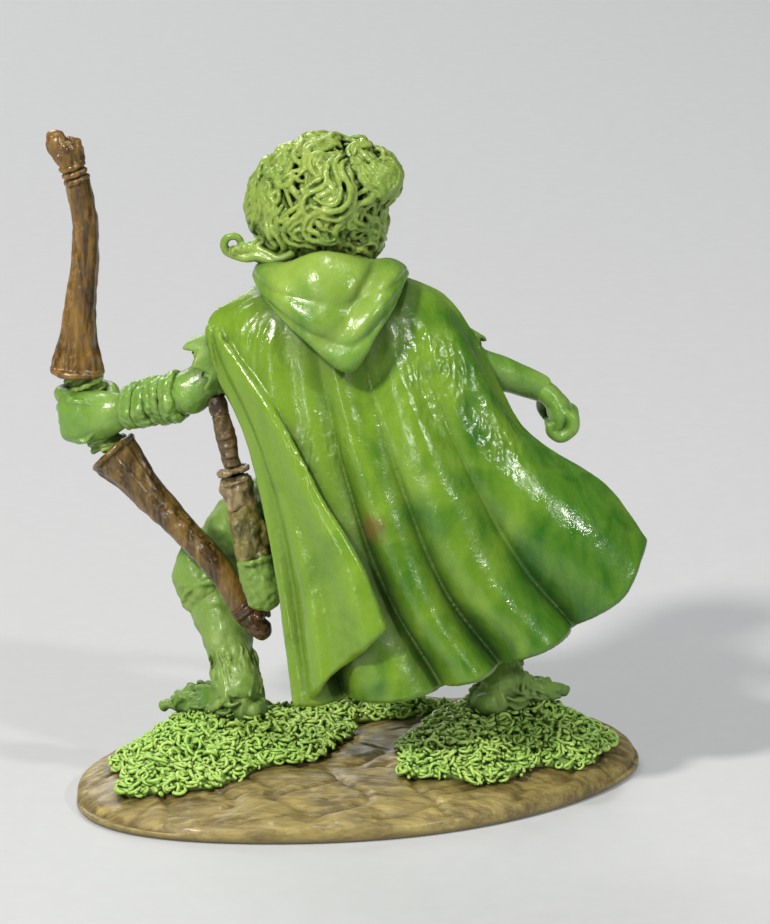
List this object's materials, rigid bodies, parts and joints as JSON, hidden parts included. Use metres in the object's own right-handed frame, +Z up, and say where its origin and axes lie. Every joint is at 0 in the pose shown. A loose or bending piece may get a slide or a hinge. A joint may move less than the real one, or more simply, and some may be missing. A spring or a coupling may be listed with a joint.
{
  "type": "tabletop miniature figure",
  "caption": "Cloaked, bare-footed archer in a wide crouch on an oval grassy base, sculpted in green and brown modelling putty.",
  "frame": {"origin": "centre of the base's flat underside", "axes": "+Z up through the figure, -Y the way the figure faces, +X towards the figure's left, the bow's side"},
  "size_m": [0.0266, 0.0189, 0.0299],
  "materials": {
    "green_putty": "glossy two-part epoxy putty, yellow-green marbled with blue-green",
    "grass_putty": "satin epoxy putty in fine curled strands",
    "brown_putty": "glossy brown epoxy putty with carved grain",
    "scabbard_putty": "glossy olive-brown epoxy putty",
    "ground_putty": "glossy ochre-brown epoxy putty with tool scratches",
    "armature_wire": "plain drawn wire"
  },
  "bodies": {
    "root": {"armature_arm_wire": "armature_wire", "armature_leg_wire": "armature_wire", "armature_spine_wire": "armature_wire", "base_ground": "ground_putty", "belt": "green_putty", "belt_buckle": "brown_putty", "bow_core_wire": "armature_wire", "bow_grip": "green_putty", "bow_lower_limb": "brown_putty", "bow_lower_tip": "brown_putty", "bow_upper_limb": "brown_putty", "bow_upper_tip": "brown_putty", "cloak": "green_putty", "cloak_clasp": "brown_putty", "cloak_turned_edge": "green_putty", "grass_back": "grass_putty", "grass_left": "grass_putty", "grass_right": "grass_putty", "hair": "green_putty", "hair_side_curl": "green_putty", "head": "green_putty", "hood": "green_putty", "left_bracer_strap_1": "green_putty", "left_bracer_strap_2": "green_putty", "left_bracer_strap_3": "green_putty", "left_bracer_strap_4": "green_putty", "left_breeches_leg": "green_putty", "left_foot": "green_putty", "left_forearm": "green_putty", "left_hand": "green_putty", "left_shin": "green_putty", "left_sleeve_cap": "green_putty", "left_upper_arm": "green_putty", "neck": "green_putty", "right_breeches_leg": "green_putty", "right_foot": "green_putty", "right_forearm": "green_putty", "right_hand": "green_putty", "right_shin": "green_putty", "right_sleeve_cap": "green_putty", "right_upper_arm": "green_putty", "scabbard": "scabbard_putty", "scabbard_chape": "green_putty", "scabbard_throat": "brown_putty", "sword_grip": "brown_putty", "sword_guard": "brown_putty", "sword_pommel": "brown_putty", "tunic": "green_putty"}
  },
  "joints": []
}
